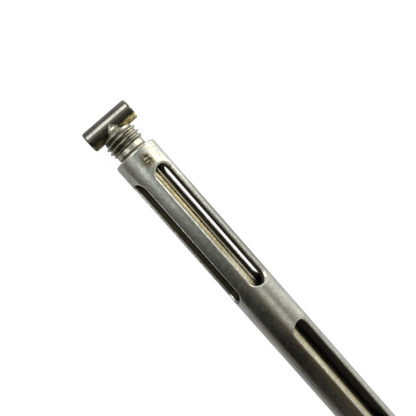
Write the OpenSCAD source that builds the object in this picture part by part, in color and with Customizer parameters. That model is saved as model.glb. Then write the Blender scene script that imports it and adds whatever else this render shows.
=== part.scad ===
// Screw-clutch mechanical pencil for 2 mm leads, all metal.
// A slotted steel barrel carries a long lead tube. A T-handled tail screw drives the
// tube forward against a spring, which lets three clutch jaws open at the nose.
// Lengths are set out along the pencil from the barrel's rear face towards the tip.
// The pencil lies along X with its tip towards +X, the T-bar along Y, +Z up.
// The origin is the middle of the footprint, on the surface that the barrel lies on.

/* [Barrel] */
// Outer diameter of the barrel
barrel_d = 10; // [9.6:0.1:10]
// Bore of the barrel
bore_d = 6.8; // [6.8:0.05:7.0]
// Length of the barrel tube
barrel_len = 94; // [93:0.5:96]
// Rounding of the rear rim
rim_r = 0.45; // [0.2:0.05:0.6]

/* [Barrel slots] */
// Width of each milled slot
slot_w = 4; // [3:0.1:4.2]
// Start of the rear slots
slot_a_start = 5.2; // [5:0.1:6]
// Length of the rear slots
slot_a_len = 32.7; // [20:0.1:34]
// Turn of the main rear slot about the barrel
slot_main_az = 29; // [20:0.5:32]
// Turn of the second rear slot
slot_right_az = 118; // [110:1:128]
// Turn of the third rear slot, opposite the first
slot_back_az = 209; // [200:0.5:212]
// Turn of the fourth rear slot
slot_left_az = -67; // [-75:0.5:-60]
// Start of the front slots
slot_b_start = 48.9; // [48.5:0.1:50]
// Length of the front slots
slot_b_len = 34; // [20:1:34]
// Turn of the front slots
slot_b_az = 28.5; // [20:0.5:32]

/* [Set screw] */
// Distance of the set screw from the barrel's rear face
set_u = 3; // [2.8:0.1:3.2]
// Turn of the set screw about the barrel
set_az = 12.5; // [8:0.5:16]

/* [Tail screw] */
// Diameter of the T-bar and of the neck
bar_d = 4.7; // [4.5:0.02:4.8]
// Length of the T-bar
bar_len = 11.5; // [11:0.1:12.5]
// Distance of the T-bar's axis behind the barrel
bar_back = 7.75; // [7.7:0.01:8]
// Outer diameter of the thread
thread_d = 7.96; // [7.9:0.01:7.98]
// Pitch of the thread
pitch = 1.1; // [1.1]
// Distance of the shoulder behind the barrel
shoulder_back = 5.45; // [5.4:0.05:5.6]
// Diameter of the plain shank ahead of the thread
shank_d = 6.76; // [6.7:0.02:6.8]
// Reach of the shank inside the barrel
shank_in = 3; // [2.5:0.1:3.2]

/* [Lead and clutch] */
// Outer diameter of the lead tube
tube_d = 3.4; // [3.2:0.05:3.4]
// Bore of the lead tube
tube_bore = 2.3; // [2.2:0.05:2.4]
// Diameter of the lead
lead_d = 2; // [1.8:0.1:2]
// Length of the lead
lead_len = 120; // [60:5:120]
// Width of the saw cuts between the clutch jaws
jaw_gap = 0.4; // [0.3:0.05:0.5]
// Half angle of the clutch cone
cone_a = 8; // [8:0.5:9]

/* [Nose] */
// Length of the grip sleeve ahead of the barrel
grip_len = 18; // [18]
// Length of the nose cone
nose_len = 19.5; // [19.5]
// Outer diameter of the nose at its front
nose_front_d = 6.2; // [6:0.1:6.6]

/* [Hidden] */

fine = 96;
R = barrel_d / 2;
r_bore = bore_d / 2;
u_grip = barrel_len;
u_nose = barrel_len + grip_len;
u_end = u_nose + nose_len;          // front face of the nose
u_lead = u_end + 7.5;               // point of the lead
u_rear = -bar_back - bar_d / 2;     // rear of the T-bar
u_mid = (u_rear + u_lead) / 2;
eps = 0.01;

thread_r = thread_d / 2;
root_r = shank_d / 2;               // root of the outside thread
pitch_r = 3.64;                     // where ridge and gap are equally wide
bush_minor = 3.48;                  // tap drill radius of the bush
bush_major = 4.09;
bush_r = 4.4;
bush_len = 4.2;
flank = tan(30);
ease = 0.05;                        // each flank stands back by this much
seg = 32;                           // facets in one turn of a thread
thread_c = -4.8;                    // where the outside ridge crosses turn zero

u_jaw = u_nose + 1.05;              // root of the clutch jaws
jaw_root_r = 1.8;
u_ring = u_end - 3;                 // back of the clutch ring
ring_r0 = 2.05;                     // its bore at the back
cone_t = tan(cone_a);
cone_h = root_r - bar_d / 2;        // the shoulder cone rises at 45 degrees

// puts a piece drawn along +Z, with 0 at the barrel's rear face, into the pencil's frame
module lay() { translate([-u_mid, 0, R]) rotate([0, 90, 0]) children(); }
// turns a piece drawn towards -X so that it faces the azimuth a, seen along the pencil
module facing(a) { rotate([0, 0, -a]) children(); }
module tube(u0, u1, ro, ri) {
  translate([0, 0, u0]) difference() {
    cylinder(h = u1 - u0, r = ro, $fn = fine);
    translate([0, 0, -1]) cylinder(h = u1 - u0 + 2, r = ri, $fn = fine);
  }
}
// a milled slot with round ends, cut towards the azimuth a
module slot(a, u0, len) {
  facing(a) rotate([0, -90, 0]) linear_extrude(height = R + 1)
    union() {
      translate([u0 + slot_w / 2, 0]) circle(r = slot_w / 2, $fn = fine);
      translate([u0 + len - slot_w / 2, 0]) circle(r = slot_w / 2, $fn = fine);
      translate([u0 + slot_w / 2, -slot_w / 2]) square([len - slot_w, slot_w]);
    }
}

// Half width of the outside ridge and of the bush's ridge at radius r
function hw_out(r) = pitch / 4 - (r - pitch_r) * flank - ease;
function hw_in(r) = pitch / 4 + (r - pitch_r) * flank - ease;
// Ridge height fades to nothing over the first and last third of a turn
function fade(i, n) = min(1, i / (seg / 3), (n - i) / (seg / 3));

// A helical ridge: base radius rb, crest radius rc, half widths wb and wc, centre line
// starting at u0 and climbing one pitch a turn, n facets long, first facet at angle a0
module ridge(u0, a0, n, rb, rc, wb, wc) {
  pts = [for (i = [0:n]) let (
      a = a0 + 360 * i / seg, z = u0 + pitch * i / seg,
      f = max(0.35, fade(i, n)),
      r1 = rb + (rc - rb) * f, w1 = wb + (wc - wb) * f)
    each [[rb * cos(a), rb * sin(a), z - wb], [r1 * cos(a), r1 * sin(a), z - w1],
          [r1 * cos(a), r1 * sin(a), z + w1], [rb * cos(a), rb * sin(a), z + wb]]];
  side = [for (i = [0:n - 1]) for (k = [0:3]) let (
      p = 4 * i + k, q = 4 * i + (k + 1) % 4, s = p + 4, t = q + 4)
    each (rc < rb ? [[p, s, q], [q, s, t]] : [[p, q, s], [q, t, s]])];
  ends = rc < rb ? [[0, 1, 2], [0, 2, 3], [4 * n + 2, 4 * n + 1, 4 * n], [4 * n + 3, 4 * n + 2, 4 * n]]
                 : [[2, 1, 0], [3, 2, 0], [4 * n, 4 * n + 1, 4 * n + 2], [4 * n, 4 * n + 2, 4 * n + 3]];
  polyhedron(points = pts, faces = concat(side, ends), convexity = 6);
}

module barrel() {
  color("#a9aca2") lay() difference() {
    rotate_extrude($fn = fine) difference() {
      translate([r_bore, 0]) square([R - r_bore, barrel_len]);
      // rounded rear rim
      translate([R - rim_r, -eps]) difference() {
        translate([0, 0]) square([rim_r + 1, rim_r + eps]);
        translate([0, rim_r + eps]) circle(r = rim_r, $fn = fine);
      }
      // seat of the threaded bush
      translate([0, -1]) square([bush_r, bush_len + 1]);
      // seat of the grip sleeve's spigot
      translate([0, barrel_len - 8]) square([4, 10]);
    }
    slot(slot_main_az, slot_a_start, slot_a_len);
    slot(slot_right_az, slot_a_start, slot_a_len);
    slot(slot_back_az, slot_a_start, slot_a_len);
    slot(slot_left_az, slot_a_start, slot_a_len);
    slot(slot_b_az, slot_b_start, slot_b_len);
    slot(slot_b_az + 180, slot_b_start, slot_b_len);
    // hole of the set screw
    facing(set_az) translate([0, 0, set_u]) rotate([0, -90, 0]) cylinder(h = R + 1, r = 0.7, $fn = 48);
  }
}

module tail_bush() {
  color("#c9b27a") lay() difference() {
    union() {
      tube(0.02, bush_len, bush_r, bush_major);
      // the bush's ridges lie half a pitch off the tail screw's
      intersection() {
        ridge(thread_c + 3.5 * pitch, 0, 5 * seg, bush_major + 0.12, bush_minor,
              hw_in(bush_major + 0.12), hw_in(bush_minor));
        translate([0, 0, 0.02]) cylinder(h = bush_len - 0.02, r = bush_r - 0.05, $fn = fine);
      }
    }
    facing(set_az) translate([0, 0, set_u]) rotate([0, -90, 0]) translate([0, 0, 4.2]) cylinder(h = 2, r = 0.7, $fn = 48);
  }
}

module bush_set_screw() {
  color("#8d8468") lay() facing(set_az) translate([0, 0, set_u]) rotate([0, -90, 0]) difference() {
    translate([0, 0, 4.21]) cylinder(h = 0.72, r = 0.69, $fn = 48);
    translate([-0.14, -1, 4.62]) cube([0.28, 2, 1]);
  }
}

module guide_bush() { color("#b79a5a") lay() tube(41, 48, r_bore, tube_d / 2 + 0.05); }

module tail_screw() {
  color("#b9b6a6") lay() difference() {
    union() {
      // neck, up to the T-bar
      translate([0, 0, -bar_back + 0.15]) cylinder(h = bar_back - shoulder_back - cone_h - 0.15, r = bar_d / 2, $fn = fine);
      // shoulder cone
      translate([0, 0, -shoulder_back - cone_h]) cylinder(h = cone_h, r1 = bar_d / 2, r2 = root_r, $fn = fine);
      ridge(thread_c + pitch / 16, 22.5, 90, root_r - 0.12, thread_r,
            hw_out(root_r - 0.12), hw_out(thread_r));
      // thread core and plain shank
      translate([0, 0, -shoulder_back]) cylinder(h = shoulder_back - 0.6, r = root_r, $fn = fine);
      translate([0, 0, -0.6]) cylinder(h = 0.1, r1 = root_r, r2 = root_r - 0.1, $fn = fine);
      translate([0, 0, -0.5]) cylinder(h = 0.5 + shank_in, r = root_r - 0.1, $fn = fine);
    }
    // saddle for the T-bar
    translate([0, 0, -bar_back]) rotate([90, 0, 0]) cylinder(h = 30, r = bar_d / 2, center = true, $fn = fine);
    // blind bore that the lead tube turns in
    translate([0, 0, -3.2]) cylinder(h = 10, r = tube_d / 2 + 0.05, $fn = fine);
  }
}

module cross_bar() {
  color("#9a978c") lay() translate([0, 0, -bar_back]) rotate([90, 0, 0])
    rotate_extrude($fn = fine) difference() {
      translate([0, -bar_len / 2]) square([bar_d / 2, bar_len]);
      for (s = [-1, 1]) translate([bar_d / 2, s * bar_len / 2]) rotate(45) square(0.42, center = true);
    }
}

module lead_tube() { color("#8f8657") lay() tube(-3, 108, tube_d / 2, tube_bore / 2); }

// loose washer between the turning screw and the collar that doesn't turn
module thrust_washer() { color("#a98f4e") lay() tube(shank_in + 0.04, shank_in + 0.34, 2.8, tube_d / 2 + 0.04); }

module thrust_collar() {
  color("#b9a468") lay() rotate_extrude($fn = fine)
    polygon([[tube_d / 2, shank_in + 0.36], [2.9, shank_in + 0.36], [2.9, shank_in + 1.1], [2.6, shank_in + 1.4], [tube_d / 2, shank_in + 1.4]]);
}

module spring_collar() { color("#b9a468") lay() tube(85.8, 87.8, 3.15, tube_d / 2); }

module clutch_spring() {
  wire = 0.3; rm = 2.5; turns = 7; sides = 8; per = 20;
  u0 = 87.85 + wire; len = 100 - 0.05 - wire - u0;
  n = turns * per;
  pts = [for (i = [0:n]) let (a = 360 * i / per, z = u0 + len * i / n)
    for (k = [0:sides - 1]) let (b = 360 * k / sides)
      [(rm + wire * cos(b)) * cos(a), (rm + wire * cos(b)) * sin(a), z + wire * sin(b)]];
  side = [for (i = [0:n - 1]) for (k = [0:sides - 1]) let (
      p = sides * i + k, q = sides * i + (k + 1) % sides)
    each [[p, q, p + sides], [q, q + sides, p + sides]]];
  ends = [[for (k = [0:sides - 1]) sides - 1 - k], [for (k = [0:sides - 1]) sides * n + k]];
  color("#c6c8c4") lay() polyhedron(points = pts, faces = concat(side, ends), convexity = 20);
}

module spring_seat() { color("#c8c6b8") lay() tube(100, 100.8, r_bore - 0.02, tube_d / 2 + 0.08); }

module grip_sleeve() {
  color("#a6a89e") lay() difference() {
    rotate_extrude($fn = fine) difference() {
      polygon([[2.6, 86.3], [4, 86.3], [4, u_grip + 0.01], [4.7, u_grip + 0.01], [R, u_grip + 0.31],
               [R, u_nose], [2.6, u_nose]]);
      // spring chamber
      translate([0, 80]) square([r_bore, 20.8]);
      // seat of the nose cone's spigot
      translate([0, u_nose - 6]) square([3.8, 7]);
      // finger grooves
      for (i = [0:8]) translate([R + 0.35, u_grip + 3 + 1.5 * i]) circle(r = 0.6, $fn = 48);
    }
  }
}

module nose_cone() {
  color("#a9aca2") lay() rotate_extrude($fn = fine) difference() {
    polygon([[2.2, u_nose - 5.8], [3.8, u_nose - 5.8], [3.8, u_nose + 0.01], [4.75, u_nose + 0.01], [R, u_nose + 0.26],
             [R, u_nose + 2], [4.72, u_nose + 6], [4.3, u_nose + 10], [3.75, u_nose + 14.5],
             [nose_front_d / 2 + 0.2, u_end - 0.4], [nose_front_d / 2 - 0.1, u_end], [2.2, u_end]]);
    // the clutch body stops against this step when the clutch is fully open
    translate([0, u_nose - 7]) square([2.6, 11.35]);
    translate([0, u_ring]) square([2.75, 4]);
  }
}

module clutch_ring() {
  color("#c2bfb0") lay() rotate_extrude($fn = fine)
    polygon([[ring_r0, u_ring], [2.75, u_ring], [2.75, u_end - 0.15], [2.6, u_end], [ring_r0 + 3 * cone_t, u_end]]);
}

module clutch_body() {
  color("#b7a063") lay() rotate_extrude($fn = fine) difference() {
    polygon([[tube_bore / 2, 103], [2.1, 103], [2.4, 103.3], [2.4, 111.5], [jaw_root_r, 112.2],
             [jaw_root_r, u_jaw - 0.05], [tube_bore / 2, u_jaw - 0.05]]);
    translate([0, 100]) square([tube_d / 2, 8]);
  }
}

// one clutch jaw: a third of a sprung tube with a coned head
module jaw(a) {
  k = cone_t;
  h = jaw_gap / 2 / sin(60);
  color("#b3ab92") lay() intersection() {
    rotate_extrude($fn = fine)
      polygon([[tube_bore / 2, u_jaw], [jaw_root_r, u_jaw], [jaw_root_r, u_ring - 1.2],
               [ring_r0 - 0.05, u_ring], [ring_r0 - 0.05 + 4.5 * k, u_ring + 4.5],
               [1.9, u_ring + 6.3], [1.35, u_ring + 6.7], [lead_d / 2 + 0.02, u_ring + 6.7],
               [lead_d / 2 + 0.02, u_ring - 0.5], [tube_bore / 2, u_ring - 0.7]]);
    facing(a) translate([-h, 0, u_jaw - 1]) linear_extrude(height = 30)
      polygon([[0, 0], [-10 * cos(60), 10 * sin(60)], [-10, 0], [-10 * cos(60), -10 * sin(60)]]);
  }
}
module clutch_jaw_a() { jaw(0); }
module clutch_jaw_b() { jaw(120); }
module clutch_jaw_c() { jaw(240); }

module lead() {
  color("#3a3a3c") lay() rotate_extrude($fn = 64)
    polygon([[0, u_lead - lead_len], [lead_d / 2 - 0.1, u_lead - lead_len], [lead_d / 2, u_lead - lead_len + 0.1],
             [lead_d / 2, u_lead - 2.6], [0.22, u_lead - 0.1], [0.1, u_lead], [0, u_lead]]);
}

barrel();
tail_bush();
bush_set_screw();
guide_bush();
grip_sleeve();
nose_cone();
clutch_ring();
spring_seat();
clutch_spring();
tail_screw();
cross_bar();
lead_tube();
thrust_washer();
thrust_collar();
spring_collar();
clutch_body();
clutch_jaw_a();
clutch_jaw_b();
clutch_jaw_c();
lead();
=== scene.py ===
import bpy
import math
from math import sin, cos, pi, sqrt, radians, atan2, hypot
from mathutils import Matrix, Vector
from mathutils.geometry import delaunay_2d_cdt


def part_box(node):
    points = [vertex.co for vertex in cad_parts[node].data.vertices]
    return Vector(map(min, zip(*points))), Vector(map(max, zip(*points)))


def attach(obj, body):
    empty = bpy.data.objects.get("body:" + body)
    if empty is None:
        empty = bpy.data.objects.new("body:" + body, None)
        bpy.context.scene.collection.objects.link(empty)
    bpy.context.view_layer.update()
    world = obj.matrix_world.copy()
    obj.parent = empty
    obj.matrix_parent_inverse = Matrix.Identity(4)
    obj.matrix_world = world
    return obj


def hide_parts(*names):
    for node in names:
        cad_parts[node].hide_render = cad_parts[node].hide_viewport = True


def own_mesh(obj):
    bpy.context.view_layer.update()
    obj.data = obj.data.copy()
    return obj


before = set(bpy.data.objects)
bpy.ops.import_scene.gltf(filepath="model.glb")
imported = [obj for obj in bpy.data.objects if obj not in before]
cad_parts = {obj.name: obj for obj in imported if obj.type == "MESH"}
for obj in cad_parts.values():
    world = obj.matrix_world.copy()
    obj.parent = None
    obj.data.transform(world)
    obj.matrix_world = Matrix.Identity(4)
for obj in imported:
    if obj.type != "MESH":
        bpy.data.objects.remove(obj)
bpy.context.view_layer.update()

MM = 0.001
X0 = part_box("barrel")[0][0]                     # the barrel's rear face
ZC = (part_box("barrel")[0][2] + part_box("barrel")[1][2]) / 2


def P(u, r, a):
    """A point u mm ahead of the barrel's rear face, r mm off the axis, at azimuth a (radians)."""
    return (X0 + u * MM, r * sin(a) * MM, ZC + r * cos(a) * MM)


# ---------------------------------------------------------------- mesh helpers

def obj_from(name, verts, faces, normals=None):
    me = bpy.data.meshes.new(name)
    if normals is not None:
        # every face is wound so that it agrees with its corners' own normals
        good = []
        for f in faces:
            a, b, c = Vector(verts[f[0]]), Vector(verts[f[1]]), Vector(verts[f[2]])
            nf = (b - a).cross(c - a)
            if len(f) == 4:
                nf = (c - a).cross(Vector(verts[f[3]]) - b)
            av = sum((Vector(normals[i]) for i in f), Vector((0, 0, 0)))
            good.append(tuple(reversed(f)) if nf.dot(av) < 0 else f)
        faces = good
    me.from_pydata(verts, [], faces)
    me.validate(clean_customdata=False)
    me.update()
    me.polygons.foreach_set("use_smooth", [True] * len(me.polygons))
    if normals is not None and len(normals) == len(me.vertices):
        me.normals_split_custom_set_from_vertices(normals)
    ob = bpy.data.objects.new(name, me)
    bpy.context.collection.objects.link(ob)
    return ob


def rounded(profile, rho, k=4):
    """Fillet a closed (u, r) profile. Returns points with their outward normals."""
    n = len(profile)
    area = 0
    for i in range(n):
        a, b = profile[i], profile[(i + 1) % n]
        area += a[0] * b[1] - b[0] * a[1]
    sgn = 1 if area > 0 else -1
    out = []
    for i in range(n):
        A, B, C = profile[i - 1], profile[i], profile[(i + 1) % n]
        rr = B[2] if len(B) > 2 else rho
        d1 = Vector((B[0] - A[0], B[1] - A[1]))
        d2 = Vector((C[0] - B[0], C[1] - B[1]))
        l1, l2 = d1.length, d2.length
        d1.normalize()
        d2.normalize()
        n1 = Vector((d1[1], -d1[0])) * sgn
        n2 = Vector((d2[1], -d2[0])) * sgn
        p = Vector((B[0], B[1]))
        if B[1] < 1e-6:
            on1, on2 = A[1] < 1e-6, C[1] < 1e-6
            out.append((p, n1 if on2 else n2))
            continue
        cosang = max(-1, min(1, d1.dot(d2)))
        ang = math.acos(cosang)
        if ang < 0.02 or rr <= 0:
            out.append((p, (n1 + n2).normalized()))
            continue
        t = min(rr * math.tan(ang / 2), 0.48 * l1, 0.48 * l2)
        R_ = t / math.tan(ang / 2)
        turn = d1[0] * d2[1] - d1[1] * d2[0]
        side = Vector((-d1[1], d1[0])) * (1 if turn > 0 else -1)
        cen = p - d1 * t + side * R_
        kk = max(2, int(round(k * ang / (pi / 2))) + 1)
        for j in range(kk + 1):
            f = j / kk * ang
            q = cen - side * R_ * cos(f) + d1 * R_ * sin(f)
            nn = (n1 * sin(ang - f) + n2 * sin(f)) / sin(ang) if ang < 3.1 else n1
            out.append((q, nn.normalized()))
    return out


def lathe(name, profile, rho=0.06, seg=128, k=4, fn=None, split=None):
    """Turn a closed (u, r) profile about the pencil's axis."""
    pts = rounded(profile, rho, k)
    if split:
        res = []
        m = len(pts)
        for i in range(m):
            (p, a), (q, b) = pts[i], pts[(i + 1) % m]
            res.append((p, a))
            d = (q - p).length
            c = int(d / split)
            for j in range(1, c + 1):
                f = j / (c + 1)
                res.append((p.lerp(q, f), a.lerp(b, f).normalized()))
        pts = res
    verts, norms, rings = [], [], []
    for p, nn in pts:
        if p[1] < 1e-6:
            rings.append([len(verts)])
            verts.append(P(p[0], 0, 0))
            norms.append((nn[0] if abs(nn[0]) > 0.1 else 1, 0, 0))
            continue
        ring = []
        for s in range(seg):
            a = 2 * pi * s / seg
            ring.append(len(verts))
            r = p[1]
            verts.append(P(p[0], r, a))
            norms.append((nn[0], nn[1] * sin(a), nn[1] * cos(a)))
        rings.append(ring)
    faces = []
    m = len(rings)
    for i in range(m):
        A, B = rings[i], rings[(i + 1) % m]
        if len(A) == 1 and len(B) == 1:
            continue
        for s in range(seg):
            t = (s + 1) % seg
            if len(A) == 1:
                faces.append((A[0], B[s], B[t]))
            elif len(B) == 1:
                faces.append((A[s], B[0], A[t]))
            else:
                faces.append((A[s], B[s], B[t], A[t]))
    area = sum(pts[i][0][0] * pts[(i + 1) % m][0][1] - pts[(i + 1) % m][0][0] * pts[i][0][1] for i in range(m))
    if area < 0:
        faces = [tuple(reversed(f)) for f in faces]
    return obj_from(name, verts, faces, norms)


# ---------------------------------------------------------------- dimensions (mm)
R = 5.0
RB = 3.4
BAR_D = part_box("cross_bar")[1][2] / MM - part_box("cross_bar")[0][2] / MM
BAR_R = BAR_D / 2
BAR_U = (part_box("cross_bar")[0][0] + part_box("cross_bar")[1][0]) / 2 / MM - X0 / MM
BAR_L = (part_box("cross_bar")[1][1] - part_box("cross_bar")[0][1]) / MM
SLOT_W = 4.0
SLOTS = [(29, 5.2, 32.7), (118, 5.2, 32.7), (209, 5.2, 32.7), (293, 5.2, 32.7),
         (28.5, 48.9, 34.0), (208.5, 48.9, 34.0)]
SET_U, SET_AZ = 3.0, 12.5
SEAM = radians(341)


# ---------------------------------------------------------------- the barrel
def barrel_mesh():
    verts, norms, faces = [], [], []

    def add(p, n):
        verts.append(p)
        norms.append(n)
        return len(verts) - 1

    def frame_at(az):
        # the slot's own plane: w sideways, h up along the azimuth
        e_h = Vector((0, sin(az), cos(az)))
        e_w = Vector((0, cos(az), -sin(az)))
        return e_w, e_h

    def to_world(az, u, w, h):
        e_w, e_h = frame_at(az)
        v = e_w * w + e_h * h
        return (X0 + u * MM, v[1] * MM, ZC + v[2] * MM)

    def n_world(az, nu, nw, nh):
        e_w, e_h = frame_at(az)
        v = e_w * nw + e_h * nh
        return Vector((nu, v[1], v[2])).normalized()

    def stadium(u0, ln, hw, steps, straight):
        """Wall outline with outward normals (away from the opening)."""
        res = []
        a0, a1 = u0 + hw, u0 + ln - hw
        for i in range(steps + 1):                       # front end, w from +hw to -hw
            f = pi / 2 - pi * i / steps
            res.append((a1 + hw * cos(f), hw * sin(f), cos(f), sin(f)))
        for i in range(1, straight):
            res.append((a1 + (a0 - a1) * i / straight, -hw, 0, -1))
        for i in range(steps + 1):
            f = -pi / 2 - pi * i / steps
            res.append((a0 + hw * cos(f), hw * sin(f), cos(f), sin(f)))
        for i in range(1, straight):
            res.append((a0 + (a1 - a0) * i / straight, hw, 0, 1))
        return res

    outer_loops, inner_loops = [], []

    def cut(az_deg, u0, ln, hw, rho_o, rho_i, r_in, steps, straight, floor=False):
        az = radians(az_deg)
        out = stadium(u0, ln, hw, steps, straight)
        kO, kI = 7, 4
        cols = []
        outer2d, inner2d = [], []
        for (pu, pw, nu, nw) in out:
            col = []
            cu, cw = pu + rho_o * nu, pw + rho_o * nw
            ch = sqrt((R - rho_o) ** 2 - cw * cw)
            d0 = Vector((-nu, -nw, 0))
            d1 = Vector((0, cw, ch)).normalized()
            ang = d0.angle(d1)
            for j in range(kO + 1):                      # from the surface down to the wall
                f = ang * (1 - j / kO)
                d = (d0 * sin(ang - f) + d1 * sin(f)) / sin(ang)
                q = Vector((cu, cw, ch)) + d * rho_o
                col.append(add(to_world(az, *q), n_world(az, *d)))
            outer2d.append((cu, az + atan2(cw, ch), col[0]))
            if floor:
                hfl = r_in
                col.append(add(to_world(az, pu, pw, hfl), n_world(az, -nu, -nw, 0)))
            else:
                cu, cw = pu + rho_i * nu, pw + rho_i * nw
                ch = sqrt((r_in + rho_i) ** 2 - cw * cw)
                d1 = -Vector((0, cw, ch)).normalized()
                ang = d0.angle(d1)
                for j in range(kI + 1):
                    f = ang * j / kI
                    d = (d0 * sin(ang - f) + d1 * sin(f)) / sin(ang)
                    q = Vector((cu, cw, ch)) + d * rho_i
                    col.append(add(to_world(az, *q), n_world(az, *d)))
                inner2d.append((cu, az + atan2(cw, ch), col[-1]))
            cols.append(col)
        m = len(cols)
        for i in range(m):
            A, B = cols[i], cols[(i + 1) % m]
            for j in range(len(A) - 1):
                faces.append((A[j], B[j], B[j + 1], A[j + 1]))
        if floor:
            c = add(to_world(az, u0 + ln / 2, 0, r_in), n_world(az, 0, 0, 1))
            for i in range(m):
                faces.append((cols[i][-1], cols[(i + 1) % m][-1], c))
        outer_loops.append(outer2d)
        if inner2d:
            inner_loops.append(inner2d)

    for az, u0, ln in SLOTS:
        cut(az, u0, ln, SLOT_W / 2, 0.42, 0.05, RB, 32, 26)
    cut(SET_AZ, SET_U - 0.7, 1.4, 0.7, 0.07, 0, 4.42, 16, 1, floor=True)

    NT = 180
    SCALE_U = 0.35

    def skin(radius, u_lo, u_hi, loops, outward, du):
        """Triangulate a cylinder between two rings, around the cuts."""
        ths = [SEAM - 2 * pi + 2 * pi * i / NT for i in range(NT + 1)]
        nu = int(round((u_hi - u_lo) / du))
        us = [u_lo + (u_hi - u_lo) * i / nu for i in range(nu + 1)]
        pts, ids, edges = [], [], []

        def pt(u, th, vid):
            pts.append(Vector((u * SCALE_U, th * radius)))
            ids.append(vid)
            return len(pts) - 1
        seamcol = [add(P(u, radius, ths[0]), Vector((0, sin(ths[0]), cos(ths[0]))) * (1 if outward else -1)) for u in us]
        polys = []
        for lp in loops:
            base = len(pts)
            poly = []
            for (u, th, vid) in lp:
                t = th
                while t > SEAM:
                    t -= 2 * pi
                while t < SEAM - 2 * pi:
                    t += 2 * pi
                pt(u, t, vid)
                poly.append((u * SCALE_U, t * radius))
            m = len(lp)
            for i in range(m):
                edges.append((base + i, base + (i + 1) % m))
            polys.append(poly)

        def near(x, y, lim):
            for poly in polys:
                xs = [q[0] for q in poly]
                ys = [q[1] for q in poly]
                if x < min(xs) - lim or x > max(xs) + lim or y < min(ys) - lim or y > max(ys) + lim:
                    continue
                for i in range(len(poly)):
                    ax, ay = poly[i]
                    bx, by = poly[(i + 1) % len(poly)]
                    dx, dy = bx - ax, by - ay
                    L = dx * dx + dy * dy
                    f = 0 if L == 0 else max(0, min(1, ((x - ax) * dx + (y - ay) * dy) / L))
                    if hypot(x - ax - f * dx, y - ay - f * dy) < lim:
                        return True
                if inside(poly, x, y):
                    return True
            return False

        def inside(poly, x, y):
            c = False
            j = len(poly) - 1
            for i in range(len(poly)):
                xi, yi = poly[i]
                xj, yj = poly[j]
                if (yi > y) != (yj > y) and x < (xj - xi) * (y - yi) / (yj - yi) + xi:
                    c = not c
                j = i
            return c
        rim_lo, rim_hi = [], []
        for i, u in enumerate(us):
            left = pt(u, ths[0], seamcol[i])
            right = pt(u, ths[-1], seamcol[i])
            if i == 0:
                rim_lo.append(left)
            if i == nu:
                rim_hi.append(left)
            for j in range(1, NT):
                th = ths[j]
                if 0 < i < nu and near(u * SCALE_U, th * radius, 0.07):
                    continue
                nrm = Vector((0, sin(th), cos(th))) * (1 if outward else -1)
                k = pt(u, th, add(P(u, radius, th), nrm))
                if i == 0:
                    rim_lo.append(k)
                if i == nu:
                    rim_hi.append(k)
            if i == 0:
                rim_lo.append(right)
            if i == nu:
                rim_hi.append(right)
        res = delaunay_2d_cdt(pts, edges, [], 0, 1e-7)
        vo, _, fo, ov = res[0], res[1], res[2], res[3]
        back = []
        for lst in ov:
            back.append(lst[0] if lst else None)
        for f in fo:
            c = sum((vo[i] for i in f), Vector((0, 0))) / 3
            hit = False
            for poly in polys:
                if inside(poly, c[0], c[1]):
                    hit = True
                    break
            if hit:
                continue
            tri = [ids[back[i]] for i in f]
            # (u, theta) triangles run anticlockwise; outside needs u x theta to point outward
            faces.append(tuple(tri) if not outward else tuple(reversed(tri)))
        return [ids[i] for i in rim_lo], [ids[i] for i in rim_hi]

    o_lo, o_hi = skin(R, 0.45, 93.75, outer_loops, True, 0.75)
    i_lo, i_hi = skin(RB, 4.35, 85.9, inner_loops, False, 0.9)

    ths = [SEAM - 2 * pi + 2 * pi * i / NT for i in range(NT)]

    def ring(u, r, nu_, nr):
        row = []
        for th in ths:
            row.append(add(P(u, r, th), Vector((nu_, nr * sin(th), nr * cos(th))).normalized()))
        return row + [row[0]]

    def join(A, B, flip=False):
        for j in range(NT):
            f = (A[j], B[j], B[j + 1], A[j + 1])
            faces.append(tuple(reversed(f)) if flip else f)

    def chain(start, seq, end, flip):
        prev = start
        for s in seq:
            row = ring(*s)
            join(prev, row, flip)
            prev = row
        if end is not None:
            join(prev, end, flip)

    rear = []
    for j in range(1, 9):                                # rounded rear rim
        f = j / 8 * pi / 2
        rear.append((0.45 - 0.45 * sin(f), R - 0.45 + 0.45 * cos(f), -sin(f), cos(f)))
    for j in range(0, 4):                                # lip of the bush's seat
        f = j / 3 * pi / 2
        rear.append((0.06 - 0.06 * cos(f), 4.46 - 0.06 * sin(f), -cos(f), -sin(f)))
    rear += [(4.2, 4.4, 0, -1), (4.2, 4.4, -1, 0), (4.2, RB + 0.15, -1, 0), (4.24, RB + 0.05, -0.7, -0.7)]
    chain(o_lo, rear, i_lo, True)
    front = [(93.85, R - 0.02, 0.4, 0.9), (93.95, R - 0.1, 0.8, 0.6), (94, R - 0.25, 1, 0), (94, 4.1, 1, 0), (93.9, 4.0, 0.3, -0.9),
             (86.02, 4.0, 0, -1), (86.0, 4.0, 1, 0), (86.0, RB + 0.1, 1, 0)]
    chain(o_hi, front, i_hi, False)
    ob = obj_from("barrel_tube", verts, faces, norms)
    return ob


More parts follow.
